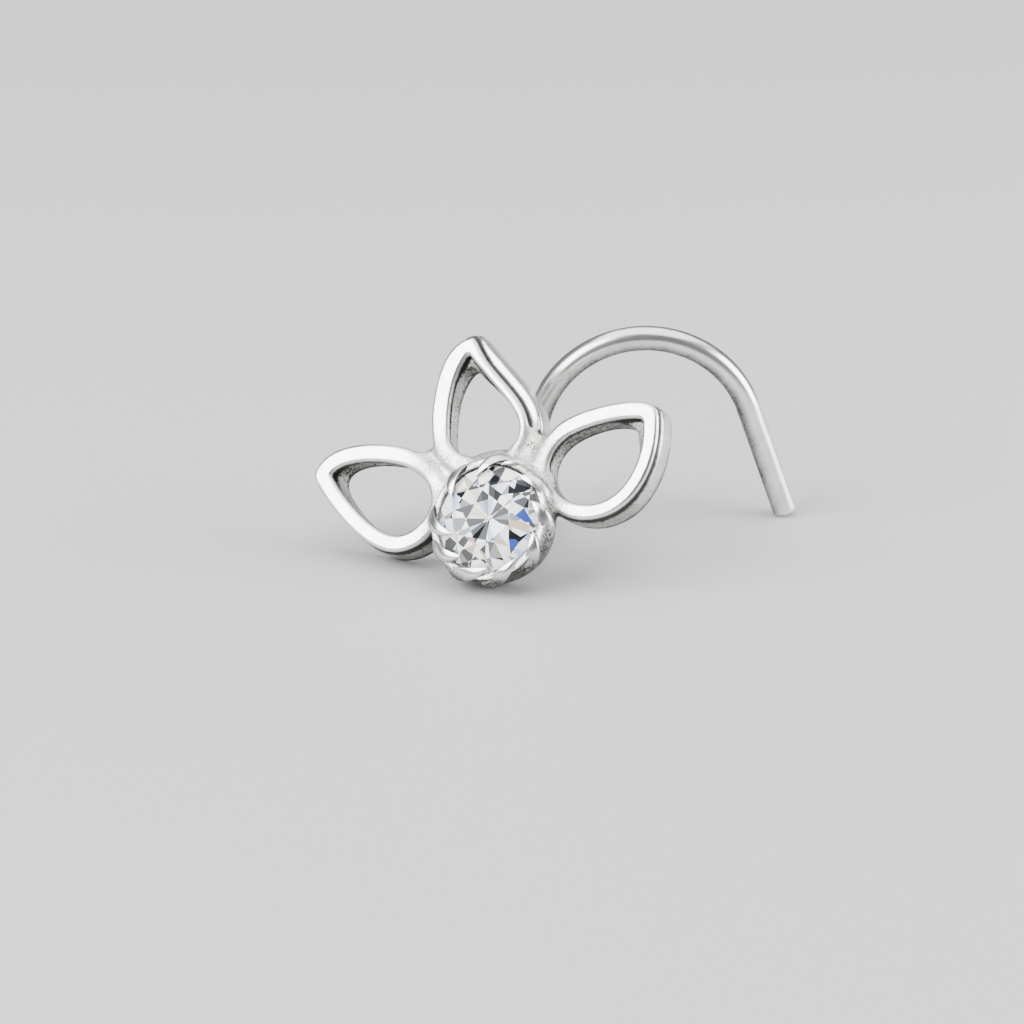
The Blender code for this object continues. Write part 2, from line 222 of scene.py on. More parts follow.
def stoneMaterial():  # each shard of the crown carries the light that it throws back, and its own slant
    look = stoneLook
    material, shader, start = newMaterial("clearStone", look["shown"])
    paintedGlint = start.node("ShaderNodeAttribute", {"attribute_name": "paintedGlint"}, 0)
    slant = start.node("ShaderNodeAttribute", {"attribute_name": "slant"}, 1)
    flat = start.node("ShaderNodeNewGeometry", None, 1)
    leaning = start.node("ShaderNodeVectorMath", {"operation": "ADD"}, 0, i0=flat, i1=slant)
    feed(shader, start, Base_Color=paintedGlint, Emission_Color=paintedGlint, Emission_Strength=look["glow"],
         Roughness=look["gloss"], Metallic=look["mirror"], IOR=look["bend"],
         Specular_IOR_Level=look["sheen"],
         Normal=start.node("ShaderNodeVectorMath", {"operation": "NORMALIZE"}, 0, i0=leaning))
    return material


silver = silverMaterial()
print("materials made")

# Petals: one row a petal. Turn in degrees; reach, root, half widths and their places in mm; the
# angle of each side at the tip in degrees and how far it holds, as a share of belly to tip; how far
# the front layer stands into the hole on each side; on the right side, how far the front layer stands
# back from the outside and the back layer out; and how far the pocket at the tip is filled, in mm.
# quarterHold is the length of handle with which a cubic curve follows a quarter of a circle
petalColumns = ("turn", "reach", "root", "left", "leftAt", "right", "rightAt", "leftTip", "rightTip",
                "leftHold", "rightHold", "leftLip", "rightLip", "rightStep", "rightSpread", "pocket")
petals = {
    "left": (177.1, 5.23, 1.63, 1.27, 2.76, 1.08, 3.14, 46, 88, 0.28, 0.39, 0.09, 0.12, 0.0, 0.0, 0.0),
    "middle": (114.6, 4.89, 1.47, 1.26, 2.49, 1.15, 2.38, 88, 16, 0.36, 0.41, 0.15, 0.0, 0.10, 0.17, 0.22),
    "right": (46.1, 4.89, 1.50, 1.05, 2.70, 1.49, 2.98, 74, 65, 0.22, 0.60, 0.10, 0.05, 0.0, 0.0, 0.36),
}
strip = {
    "half": 0.20, "back": 0.05, "front": 0.96, "round": 0.09, "dome": 0.055, "sideSteps": 60,
    "bellyHold": 0.30, "tipSpread": 9, "tipRounds": 40, "tipCut": 0.95,
    "pocketSpread": 20, "pocketRounds": 220, "lipBack": 0.80, "step": 0.68,
    "ledge": 0.78, "ledgeRun": 0.07, "ledgeDeep": 0.03, "ledgeUp": 0.01,
    "bevel": 0.04, "outBulge": 0.012, "inBulge": 0.01, "quarterHold": 0.552, "roundSteps": 5,
}


def petalRow(name):
    return dict(zip(petalColumns, petals[name]))


def curve(a, b, c, d, steps):
    # cubic curve through a and d with handles b and c
    t = np.linspace(0, 1, steps, endpoint=False)[:, None]
    a, b, c, d = (np.array(point, float) for point in (a, b, c, d))
    return a * (1 - t) ** 3 + 3 * b * t * (1 - t) ** 2 + 3 * c * t * t * (1 - t) + d * t ** 3


def turned(points, degrees):
    c, s = math.cos(math.radians(degrees)), math.sin(math.radians(degrees))
    return points @ np.array([[c, s], [-s, c]])


def petalLine(name):
    # middle line of the strip: from the tip down the left side to the root and back up the right side
    row = petalRow(name)
    steps, quarter = strip["sideSteps"], strip["quarterHold"]
    sides = []
    for side, sign in (("left", 1), ("right", -1)):
        half, belly, slant = row[side], row[side + "At"], math.radians(row[side + "Tip"])
        reach, root = row["reach"], row["root"]
        hold = row[side + "Hold"] * (reach - belly)
        upper = curve((reach, 0), (reach - hold * math.cos(slant), hold * math.sin(slant)),
                      (belly + strip["bellyHold"] * (reach - belly), half), (belly, half), steps)
        lower = curve((belly, half), (belly - quarter * (belly - root), half),
                      (root, quarter * half), (root, 0), steps)
        line = np.vstack([upper, lower, [(root, 0)]])
        line[:, 1] *= sign
        sides.append(line)
    return turned(np.vstack([sides[0], sides[1][-2:0:-1]]), row["turn"])


def lineNormals(line):  # outward normals of a closed line, lengthened where it turns, as a mitre is
    ahead = np.roll(line, -1, axis=0) - line
    ahead /= np.linalg.norm(ahead, axis=1)[:, None]
    behind = np.roll(ahead, 1, axis=0)
    normal = np.stack([ahead[:, 1] + behind[:, 1], -ahead[:, 0] - behind[:, 0]], 1)
    normal /= np.linalg.norm(normal, axis=1)[:, None]
    closeness = (normal * np.stack([ahead[:, 1], -ahead[:, 0]], 1)).sum(1)
    return normal / np.clip(closeness, 0.5, 1)[:, None]


def sideOf(count):  # 1 on the left side of a petal's line, -1 on its right side
    return np.clip(2.5 * np.sin(2 * math.pi * np.arange(count) / count), -1, 1)


def petalSolid(name):
    # two layers, the front one standing a lip further into the hole, carried round the petal's line;
    # the front is slightly domed and the corner at the tip is cut blunt and filled on the inside
    row = petalRow(name)
    line = petalLine(name)
    count = len(line)
    out = lineNormals(line)
    half, r, front, back = strip["half"], strip["round"], strip["front"], strip["back"]
    arc = np.linspace(0, math.pi / 2, strip["roundSteps"])
    corner = np.stack([-r * (1 - np.cos(arc)), front - r * (1 - np.sin(arc))], 1)
    bevel, ledge = strip["bevel"], strip["ledge"]
    outer = np.vstack([(-bevel, back), (0, back + bevel), (strip["outBulge"], front / 2),
                       (0, ledge - strip["ledgeRun"]), (-strip["ledgeDeep"], ledge),
                       (0, ledge + strip["ledgeUp"]), corner])
    lip = np.array([0, 0, 0, 0, 1, 1] + [1] * len(corner), float)
    inner = np.vstack([(-bevel, back), (0, back + bevel), (strip["inBulge"], front / 2),
                       (0, strip["step"]), (0, strip["lipBack"]), (0, front - 2 * r), corner])
    side = sideOf(count)
    lips = row["leftLip"] * (1 + side) / 2 + row["rightLip"] * (1 - side) / 2
    fromTip = np.minimum(np.arange(count), count - np.arange(count))
    length = np.linalg.norm(out, axis=1)
    outwards = out * (np.minimum(length, strip["tipCut"]) / length)[:, None]
    outwards = np.where(fromTip[:, None] < 2, outwards, out)
    upper = (outer[:, 1] > ledge).astype(float)
    rightward = (1 - side[:, None]) / 2
    shift = row["rightSpread"] * (1 - upper) - row["rightStep"] * upper
    outOffset = half + outer[:, 0] + rightward * shift
    pocket = row["pocket"] * np.exp(-(fromTip / strip["pocketSpread"]) ** 2)
    inOffset = half + inner[:, 0] + lips[:, None] * lip + pocket[:, None] * (1 - lip)
    within = line[:, None] - out[:, None] * inOffset[..., None]
    for columns, spread, rounds in ((lip > 0, strip["tipSpread"], strip["tipRounds"]),
                                    (lip == 0, strip["pocketSpread"], strip["pocketRounds"])):
        fill, part = np.exp(-(fromTip / spread) ** 2)[:, None, None], within[:, columns]
        for _ in range(rounds):
            part = part + fill * ((np.roll(part, 1, 0) + np.roll(part, -1, 0)) / 2 - part)
        within[:, columns] = part
    flat = np.concatenate([line[:, None] + outwards[:, None] * outOffset[..., None], within[:, ::-1]], 1)
    height = np.concatenate([outer[:, 1], inner[::-1, 1]])
    dome = np.concatenate([np.clip(-outer[:, 0] / r, 0, 1), np.clip(-inner[::-1, 0] / r, 0, 1)])
    height = height + strip["dome"] * dome * (height > front / 2)
    points = np.concatenate([flat, np.broadcast_to(height[None, :, None], flat.shape[:2] + (1,))], 2)
    return points.reshape(-1, 3), gridFaces(count, len(height), loopRows=True)


# Cup: profile of radius and height in mm, turned about the stone's axis
cup = {
    "back": 1.31, "rim": 1.62, "edge": 0.07, "height": 1.36, "girdle": 1.25,
    "seat": 0.20, "shoulder": 1.23, "inner": 1.415, "sides": 160,
    "swell": ((0.36, 0.55), (0.64, 0.92), (0.90, 1.0)),
}


def cupSolid():
    profile = [(0, 0), (cup["back"] - cup["edge"], 0), (cup["back"], cup["edge"])]
    for up, swell in cup["swell"]:
        profile.append((cup["back"] + (cup["rim"] - cup["back"]) * swell, cup["girdle"] * up))
    profile += [(cup["rim"] - cup["edge"] / 2, cup["height"]), (cup["inner"], cup["height"]),
                (cup["inner"], cup["shoulder"]), (0, cup["seat"])]
    profile = np.array(profile)
    angle = np.linspace(0, 2 * math.pi, cup["sides"], endpoint=False)
    radius, height = profile[:, :1], np.repeat(profile[:, 1:], cup["sides"], 1)
    points = np.stack([radius * np.cos(angle), radius * np.sin(angle), height], -1)
    return points.reshape(-1, 3), gridFaces(len(profile), cup["sides"])


# Webs in the notches between neighbouring petals: heights of front and back, distance of the inner
# corners from the axis, how far out the softened middle lies, and each notch's share of the way out
# to the petals' bellies
webs = {"front": 0.90, "back": 0.10, "root": 1.2, "centre": 0.84,
        "pairs": (("left", "middle", 0.97), ("middle", "right", 0.93))}


def webSides(first, second):  # the widest places of the two petals beside a web
    a, b = petalRow(first), petalRow(second)
    return (turned(np.array([[a["rightAt"], -a["right"]]]), a["turn"])[0],
            turned(np.array([[b["leftAt"], b["left"]]]), b["turn"])[0])


def webSolid(first, second, share):
    sideA, sideB = webSides(first, second)
    inner = [side / np.linalg.norm(side) * webs["root"] for side in (sideA, sideB)]
    outline = np.array([*inner, sideB, (sideA + sideB) / 2 * share, sideA])
    points = np.vstack([np.column_stack([outline, np.full(len(outline), height)])
                        for height in (webs["back"], webs["front"])])
    return points, gridFaces(2, len(outline)) + endCaps(2, len(outline))


def webNearness(points, reach):  # 1 in the middle of a web, falling to 0 around it
    near = np.zeros(len(points))
    for first, second, share in webs["pairs"]:
        middle = sum(webSides(first, second)) / 2 * share * webs["centre"]
        near = np.maximum(near, np.exp(-((points[:, :2] - middle) ** 2).sum(1) / reach ** 2))
    return near


# Collar: silver heaped round the cup where the petals meet it, from one turn to another in degrees,
# thinning out towards both ends; radii and heights in mm
collar = {
    "from": 8, "to": 206, "steps": 60, "thin": 0.22, "inner": 1.35, "outer": 1.45, "radius": 1.98,
    "foot": 0.15, "low": 0.84, "top": 1.12, "crestOut": 0.1, "crestUp": 0.1,
}


def collarSolid():  # a section with four corners, turned about the stone's axis
    share = np.linspace(0, 1, collar["steps"])
    turn = np.radians(collar["from"] + (collar["to"] - collar["from"]) * share)[:, None]
    full = ramp(np.minimum(share, 1 - share), 0, collar["thin"])[:, None]
    level = np.ones_like(full)
    inner, outer, low, top = collar["inner"], collar["outer"], collar["low"], collar["top"]
    crest = low + collar["crestUp"]
    radii = np.hstack([inner * level, inner * level, outer + (collar["radius"] - outer) * full,
                       outer + collar["crestOut"] * full])
    heights = np.hstack([top * level, collar["foot"] * level, low * level, crest + (top - crest) * full])
    points = np.stack([radii * np.cos(turn), radii * np.sin(turn), heights], -1)
    return points.reshape(-1, 3), gridFaces(len(turn), radii.shape[1]) + endCaps(len(turn), radii.shape[1])


# Casting: voxel in mm, rounds of smoothing, and where the notches and the petals' roots are softened:
# their reach, radii and heights in mm
casting = {
    "voxel": 0.0355, "smoothing": 3, "shares": (0.5, -0.51), "webSmoothing": 40, "webShare": 0.6,
    "webReach": 0.62, "webWeight": 1.3, "rootRadii": (2.05, 1.7), "rootHeights": (1.26, 1.12),
    "rootWeight": 0.6,
}


def towardsNeighbours(points, edges):  # from each point to the mean of the points joined to it
    count = len(points)
    both = np.concatenate([edges, edges[:, ::-1]])
    number = np.bincount(both[:, 0], minlength=count)[:, None]
    total = np.stack([np.bincount(both[:, 0], points[both[:, 1], axis], count) for axis in range(3)], 1)
    return total / number - points


def smoothed(points, edges, rounds):
    # each point moves towards the mean of its neighbours, then back a little more, so volume stays
    for share in casting["shares"] * rounds:
        points = points + towardsNeighbours(points, edges) * share
    return points


def softened(points, edges, rounds, weight):  # as smoothed, without the way back, so notches fill
    for _ in range(rounds):
        points = points + towardsNeighbours(points, edges) * casting["webShare"] * weight
    return points


def nearestOnLines(points):
    # for every point the nearest petal's line: signed distance to it, outwards positive, place along it,
    # and how far the front layer's wall stands back there
    chunk = 20000
    best = np.full(len(points), 1e9)
    signed, along, step = np.zeros((3, len(points)))
    for name in petals:
        line = petalLine(name)
        out = lineNormals(line)
        steps = petalRow(name)["rightStep"] * (1 - sideOf(len(line))) / 2
        for start in range(0, len(points), chunk):
            part = slice(start, start + chunk)
            gap = points[part, None, :2] - line[None]
            square = (gap ** 2).sum(2)
            pick = square.argmin(1)
            rows = np.arange(len(pick))
            distance = np.sqrt(square[rows, pick])
            side = np.sign((gap[rows, pick] * out[pick]).sum(1))
            closer = distance < best[part]
            best[part] = np.where(closer, distance, best[part])
            signed[part] = np.where(closer, distance * side, signed[part])
            along[part] = np.where(closer, pick / len(line), along[part])
            step[part] = np.where(closer, steps[pick], step[part])
    return signed, along, step


# Finish: groove between the strip's two layers, with height, half width and depth in mm and the radii
# where it starts; dark line at the foot of a ledge; how dark each place is, and how rough its skin is.
# The darkness is oxide and painted shade in the groove, at the ledge's foot and in the tip pockets, and
# painted shade on the walls, most on the inner ones, towards their back edge, on down-facing sides
# and on the cup
finish = {
    "height": 0.81, "width": 0.085, "depth": 0.065, "clear": (1.75, 2.05), "near": 0.62,
    "foot": 0.065, "footUp": 0.03, "webReach": 0.5, "pocketReach": 0.07,
    "groove": 1.5, "grooveInside": 0.3, "wall": 0.05, "underShade": 0.50, "inside": 0.08,
    "backEdge": 0.60, "footDark": 1.4, "pocket": 0.12, "cup": 0.50, "offStrip": 0.8,
    "pocketSkin": 1.2, "wallSkin": 0.25, "insideSkin": 0.45, "rootSkin": 0.8, "cupSkin": 0.7,
    # where each mark starts and where it is full, as heights, radii, distances or slopes
    "sideFrom": (0.85, 0.45), "insideFrom": (-0.06, -0.12), "tipClear": 0.02, "underFrom": (0.25, -0.55),
    "edgeHeights": (0.30, 0.06), "pocketHeights": (0.90, 0.82), "pocketRadii": (2.6, 3.2),
    "rootRadii": (2.25, 1.75), "rootHeights": (1.5, 1.3),
}


def dressCasting(points, normals):
    # presses the groove into the strips' walls, and marks how dark and how rough each point is
    signed, along, step = nearestOnLines(points)
    height, radius = points[:, 2], np.hypot(points[:, 0], points[:, 1])
    upwards = (normals @ headAxes.T)[:, 2]
    side = ramp(np.abs(normals[:, 2]), *finish["sideFrom"])
    onStrip = (np.abs(signed) < finish["near"]) * ramp(radius, *finish["clear"])
    fromTip = np.minimum(along, 1 - along)
    inside = ramp(signed, *finish["insideFrom"])
    line = np.exp(-((height - finish["height"]) / finish["width"]) ** 2) * side * onStrip
    line *= ramp(fromTip, 0, finish["tipClear"]) + (1 - inside) * ramp(fromTip, finish["tipClear"], 0)
    aside, above = signed - strip["half"] + step, height - strip["ledge"] - finish["footUp"]
    foot = np.exp(-(aside ** 2 + above ** 2) / finish["foot"] ** 2) * (step > 0.01) * onStrip
    web = webNearness(points, finish["webReach"])
    # painted shade: places that face down are darkened
    underShade = ramp(upwards, *finish["underFrom"])
    wall = side * onStrip
    # painted shade: walls darker towards their back edge
    edge = wall * ramp(height, *finish["edgeHeights"])
    pocket = np.exp(-(fromTip / finish["pocketReach"]) ** 2) * inside
    pocket = pocket * ramp(height, *finish["pocketHeights"]) * ramp(radius, *finish["pocketRadii"])
    root = ramp(radius, *finish["rootRadii"]) * ramp(height, *finish["rootHeights"])
    below = finish["underShade"] * underShade
    # oxide and painted shade along the groove; painted shade on the walls, most on the inner and
    # down-facing ones, and on the cup
    groove = line * (finish["groove"] - finish["grooveInside"] * inside)
    walls = wall * (finish["wall"] + below + finish["inside"] * inside)
    offStrip = (1 - onStrip) * (finish["cup"] * side + below) * finish["offStrip"]
    # oxide and painted shade together, with the dark line at the ledge's foot and the pockets
    oxideAndShade = (groove + walls + edge * finish["backEdge"] + foot * finish["footDark"]
             + pocket * finish["pocket"] + offStrip)
    cast = np.maximum.reduce([
        web, pocket * finish["pocketSkin"], wall * (finish["wallSkin"] + finish["insideSkin"] * inside),
        root * finish["rootSkin"], (1 - onStrip) * side * finish["cupSkin"]])
    return points - normals * (finish["depth"] * line)[:, None], oxideAndShade.clip(0, 1), cast.clip(0, 1)


def makeCasting():
    solids = [petalSolid(name) for name in petals] + [cupSolid(), collarSolid()]
    solids += [webSolid(*pair) for pair in webs["pairs"]]
    points = np.vstack([solid[0] for solid in solids])
    faces, start = [], 0
    for solid in solids:
        faces += [[corner + start for corner in face] for face in solid[1]]
        start += len(solid[0])
    mesh = bpy.data.meshes.new("castingRaw")
    mesh.from_pydata(points.tolist(), [], faces)
    outward(mesh)
    raw = bpy.data.objects.new("castingRaw", mesh)
    bpy.context.collection.objects.link(raw)
    remesh = raw.modifiers.new("fuse", "REMESH")
    remesh.mode = "VOXEL"
    remesh.voxel_size = casting["voxel"]
    fused = bpy.data.meshes.new_from_object(raw.evaluated_get(bpy.context.evaluated_depsgraph_get()))
    bpy.data.objects.remove(raw)
    count = len(fused.vertices)
    points = np.zeros(count * 3)
    fused.vertices.foreach_get("co", points)
    points = points.reshape(-1, 3)
    edges = np.zeros(len(fused.edges) * 2, int)
    fused.edges.foreach_get("vertices", edges)
    edges = edges.reshape(-1, 2)
    points = smoothed(points, edges, casting["smoothing"])
    radius = np.hypot(points[:, 0], points[:, 1])
    root = ramp(radius, *casting["rootRadii"]) * ramp(points[:, 2], *casting["rootHeights"])
    web = webNearness(points, casting["webReach"])
    soft = np.maximum(web * casting["webWeight"], root * casting["rootWeight"]).clip(0, 1)
    points = softened(points, edges, casting["webSmoothing"], soft[:, None])
    fused.vertices.foreach_set("co", points.ravel())
    fused.update()
    normals = np.zeros(count * 3)
    fused.vertices.foreach_get("normal", normals)
    points, oxideAndShade, cast = dressCasting(points, normals.reshape(-1, 3))
    faces = [list(face.vertices) for face in fused.polygons]
    bpy.data.meshes.remove(fused)
    print("casting has", len(faces), "faces")
    return makePiece("flower_casting", fromHead(points), faces, silver, "flower_hook_body",
                     {"oxideAndShade": oxideAndShade, "cast": cast})


makeCasting()
print("casting made")

# Claws: turn of the tip in degrees, its distance from the axis in mm, how far the leaf sweeps round
# in degrees, and its width in mm
claws = {
    "rows": ((29, 1.26, 30, 0.38), (65, 1.30, 36, 0.36), (92, 1.40, 28, 0.20), (118, 1.05, 34, 0.38),
             (163, 1.03, 36, 0.42), (221, 0.92, 46, 0.40), (251, 1.16, 44, 0.42), (287, 1.30, 50, 0.42),
             (320, 1.36, 40, 0.38), (355, 1.34, 32, 0.36)),
    "thick": 0.16, "gap": 0.04, "footDepth": 0.40, "steps": 44, "sides": 24, "ridge": 0.45,
    "leanFrom": 0.15, "lean": 1.5, "rise": 2.4, "tilt": (5, 55), "point": 2.3, "fullness": 0.75,
    # the darkness values here are painted shade on the leaf's back side and on its down-facing places
    "edge": 0.008, "thin": 0.55, "domed": 1.3, "dark": 0.95, "underShade": 0.80, "skin": 0.9,
    "backFrom": (-0.25, 0.15), "underFrom": (0.40, -0.45), "underAlong": (0.95, 0.4),
    "skinAlong": (0.50, 0.0),
}
gem = {"radius": 1.375, "table": 0.77, "crown": 0.40, "girdle": 0.07, "pavilion": 1.02, "foot": 1.25,
       "lower": 0.22}
crownSlope = gem["crown"] / (gem["radius"] - gem["table"])


def makeClaw(number, tipTurn, tipRadius, sweep, broad):
    # a leaf's section, with a ridge nearer its outer edge, carried from the cup's side over the stone
    t = np.linspace(0, 1, claws["steps"])
    half = claws["thick"] / 2
    turn = np.radians(tipTurn - sweep * (1 - t))
    crownHeight = gem["foot"] + gem["girdle"] + crownSlope * (gem["radius"] - tipRadius)
    tipHeight = crownHeight + claws["gap"] + half * 0.5
    footHeight = cup["height"] - claws["footDepth"]
    lean = ramp(t, claws["leanFrom"], 1.0) ** claws["lean"]
    radius = cup["rim"] + (tipRadius - cup["rim"]) * lean
    rise = 1 - (1 - t) ** claws["rise"]
    path = np.stack([radius * np.cos(turn), radius * np.sin(turn),
                     footHeight + (tipHeight - footHeight) * rise], 1)
    along = np.gradient(path, axis=0)
    along /= np.linalg.norm(along, axis=1)[:, None]
    tilt = np.radians(claws["tilt"][0] + claws["tilt"][1] * rise)
    out = np.stack([np.cos(tilt) * np.cos(turn), np.cos(tilt) * np.sin(turn), np.sin(tilt)], 1)
    out -= along * (out * along).sum(1)[:, None]
    out /= np.linalg.norm(out, axis=1)[:, None]
    across = np.cross(along, out)
    taper = np.clip(1 - t ** claws["point"], 0.001, 1) ** claws["fullness"]
    width = broad / 2 * taper + claws["edge"]
    thick = half * (1 - claws["thin"] * t * t)
    angle = np.linspace(0, 2 * math.pi, claws["sides"], endpoint=False)
    x, y = np.cos(angle), np.sin(angle)
    y = np.where(y > 0, np.abs(y) ** claws["domed"] * (1 + claws["ridge"] * x), y)
    rings = (path[:, None] + across[:, None] * (x * width[:, None])[..., None]
             + out[:, None] * (y * thick[:, None])[..., None])
    faces = gridFaces(len(t), len(angle)) + endCaps(len(t), len(angle))
    facing = (across[:, None] * x[:, None] * 0.5 + out[:, None] * y[:, None]) @ headAxes.T
    # painted shade: the leaf's back side and the places that face down are darkened
    underShade = ramp(facing[..., 2], *claws["underFrom"])
    back = ramp(-y, *claws["backFrom"])[None, :] * claws["dark"]
    oxideAndShade = back + underShade * claws["underShade"] * ramp(t, *claws["underAlong"])[:, None]
    cast = np.broadcast_to(ramp(t, *claws["skinAlong"])[:, None] * claws["skin"], oxideAndShade.shape)
    return makePiece(f"claw_{number}", fromHead(rings.reshape(-1, 3)), faces, silver,
                     "flower_hook_body", {"oxideAndShade": oxideAndShade.clip(0, 1), "cast": cast})


for number, row in enumerate(claws["rows"], 1):
    makeClaw(number, *row)
print("claws made")


# Stone: round brilliant with a table, eight stars, eight kites, halves above and below the girdle.
# Its crown is split into shards by straight cuts, rows of count, distance from the axis and turn in
# degrees; each shard is painted a tone that stands for the light it reflects, and flashes are painted
# coloured reflections: turn in degrees, distance and reach in mm, and a tone's name
shards = {
    "cuts": ((11, 0.02, 4), (7, 0.52, 11), (8, 0.98, 20)), "wander": 0.05, "turnWander": 5, "seed": 23,
    "slant": 0.13, "twinkle": 0.05, "stray": 0.10, "centre": (0.20, -0.06),
    "tones": {
        "white": (0.98, 0.985, 1.0), "pale": (0.27, 0.285, 0.32), "grey": (0.075, 0.080, 0.084),
        "dark": (0.012, 0.014, 0.018), "blue": (0.045, 0.075, 0.33), "ice": (0.44, 0.52, 0.82),
        "peach": (0.55, 0.43, 0.36), "straw": (0.58, 0.59, 0.45),
    },
    "mix": (("white", 0.08), ("pale", 0.25), ("grey", 0.32), ("dark", 0.14), ("ice", 0.07),
            ("peach", 0.08), ("straw", 0.06)),
    "flashes": (
        (17, 0.93, 0.11, "blue"), (325, 0.95, 0.10, "blue"), (349, 0.93, 0.08, "dark"),
        (221, 0.54, 0.10, "ice"), (191, 0.88, 0.11, "ice"), (358, 0.67, 0.11, "peach"),
        (248, 0.77, 0.11, "peach"), (310, 0.80, 0.10, "peach"), (88, 0.70, 0.10, "dark"),
        (128, 0.58, 0.13, "grey"), (218, 0.24, 0.11, "grey"), (66, 0.98, 0.09, "dark"),
        (107, 0.96, 0.10, "grey"), (33, 1.00, 0.08, "dark"), (174, 0.60, 0.10, "grey"),
        (290, 0.73, 0.11, "grey"), (252, 1.00, 0.09, "dark"), (300, 1.00, 0.08, "dark"),
        (319, 0.30, 0.20, "white"), (115, 0.80, 0.12, "white"), (33, 0.66, 0.14, "white"),
        (148, 0.85, 0.14, "white"),
    ),
}


def ring(radius, height, count, offset):
    angle = offset + np.arange(count) * 2 * math.pi / count
    return np.stack([radius * np.cos(angle), radius * np.sin(angle), np.full(count, height)], 1)


def brilliant():  # corners and faces of the whole cut stone, in mm from the head's back
    step = math.pi / 4
    low, top = gem["foot"], gem["foot"] + gem["girdle"]
    starRadius = (gem["table"] + gem["radius"]) / 2
    starHeight = gem["crown"] - crownSlope * (starRadius * math.cos(step / 2) - gem["table"])
    deep = gem["pavilion"] / gem["radius"]
    lowerRadius = gem["lower"] * gem["radius"]
    points = np.vstack([
        ring(gem["table"], top + gem["crown"], 8, 0),
        ring(starRadius, top + starHeight, 8, step / 2),
        ring(gem["radius"], top, 16, 0),
        ring(gem["radius"], low, 16, 0),
        ring(lowerRadius, low + deep * lowerRadius * math.cos(step / 2) - gem["pavilion"], 8, step / 2),
        [(0, 0, low - gem["pavilion"])],
    ])
    faces = [list(range(8))]
    for i in range(8):
        n, b = (i + 1) % 8, (i - 1) % 8
        main, mid, after = 16 + 2 * i, 17 + 2 * i, 16 + (2 * i + 2) % 16
        faces += [[i, 8 + i, n], [i, 8 + b, main, 8 + i], [8 + i, main, mid], [8 + i, mid, after],
                  [main, main + 16, mid + 16, mid], [mid, mid + 16, after + 16, after],
                  [48 + i, mid + 16, main + 16], [48 + i, after + 16, mid + 16],
                  [48 + b, 48 + i, main + 16], [48 + i, 48 + b, 56]]
    return points, faces


def splitCrown(points, faces, chance):
    # cuts the crown's facets along upright planes at chosen distances from the axis; gives the cuts too
    cuts = []
    mesh = bpy.data.meshes.new("stoneCut")
    mesh.from_pydata(points.tolist(), [], faces)
    work = bmesh.new()
    work.from_mesh(mesh)
    bmesh.ops.recalc_face_normals(work, faces=work.faces)
    for count, distance, first in shards["cuts"]:
        for k in range(count):
            turn = math.radians(first + 360 / count * k + chance.uniform(-1, 1) * shards["turnWander"])
            across = Vector((math.cos(turn), math.sin(turn), 0))
            offset = distance + chance.uniform(-1, 1) * shards["wander"]
            offset += across.xy @ Vector(shards["centre"])
            cuts.append((across.x, across.y, offset))
            crown = [face for face in work.faces if face.normal.z > 0.05]
            edges = {edge for face in crown for edge in face.edges}
            corners = {corner for face in crown for corner in face.verts}
            bmesh.ops.bisect_plane(work, geom=[*crown, *edges, *corners], dist=1e-4, plane_no=across,
                                   plane_co=across * offset)
    work.to_mesh(mesh)
    work.free()
    points = np.array([corner.co[:] for corner in mesh.vertices])
    faces = [list(face.vertices) for face in mesh.polygons]
    bpy.data.meshes.remove(mesh)
    return points, faces, np.array(cuts)


def paintedShardLight(centres, cuts, chance):
    # painted reflections: white and other tones take turns from one side of each cut to the other; painted
    # flashes come last
    crossed = (centres[:, :2] @ cuts[:, :2].T > cuts[:, 2]).sum(1)
    other = crossed % 2 > 0
    names = list(shards["tones"])
    mixNames, mixShares = zip(*shards["mix"])
    drawn = chance.choice([names.index(name) for name in mixNames], len(centres), p=mixShares)
    stray = chance.random(len(centres)) < shards["stray"]
    tone = np.where(other | stray, drawn, names.index("white"))
    for degrees, distance, reach, name in shards["flashes"]:
        turn = math.radians(degrees)
        spot = np.array(shards["centre"]) + distance * np.array([math.cos(turn), math.sin(turn)])
        tone[np.hypot(*(centres[:, :2] - spot).T) < reach] = names.index(name)
    colours = np.array(list(shards["tones"].values()))[tone]
    low, high = 1 - shards["twinkle"], 1 + shards["twinkle"]
    return (colours * chance.uniform(low, high, (len(tone), 1))).clip(0, 1)


def makeStone():
    chance = np.random.default_rng(shards["seed"])
    points, faces, cuts = splitCrown(*brilliant(), chance)
    stone = makePiece("brilliant_stone", fromHead(points), faces, stoneMaterial(),
                      "round_stone", smooth=False)
    mesh = stone.data
    centres = np.array([face.center[:] for face in mesh.polygons])
    centres = (centres - headPlace) @ headAxes / mm
    colours = np.column_stack([paintedShardLight(centres, cuts, chance), np.ones(len(centres))])
    mesh.attributes.new("paintedGlint", "FLOAT_COLOR", "FACE").data.foreach_set("color", colours.ravel())
    slants = chance.normal(0, shards["slant"], (len(centres), 3)) * (centres[:, 2:] > gem["foot"])
    mesh.attributes.new("slant", "FLOAT_VECTOR", "FACE").data.foreach_set("vector", slants.ravel())
    return stone


makeStone()
print("stone made")

# Wire: stub out of the cup's back, post straight back, round hook and leaning leg, in mm and degrees;
# the cut end's edge is drawn in by bevelIn at bevelBack before the end; inner is where the painted
# shade on the hook's inside starts and where it is darkest
wire = {
    "radius": 0.32, "stub": 0.60, "rise": 0.35, "sink": 0.12, "postRun": 3.16, "drift": 0.33,
    "hook": 2.85, "centreHeight": 2.06, "lean": 19.4, "stubBend": 0.55, "postBend": 0.85, "sides": 48,
    "hookSteps": 110, "legSteps": 40, "bevelBack": (0.03, 0.012, 0.0), "bevelIn": (0.0, 0.01, 0.03),
    "inner": (-0.10, 0.75), "innerShade": 0.80, "skin": 0.04, "innerSkin": 0.10,
}


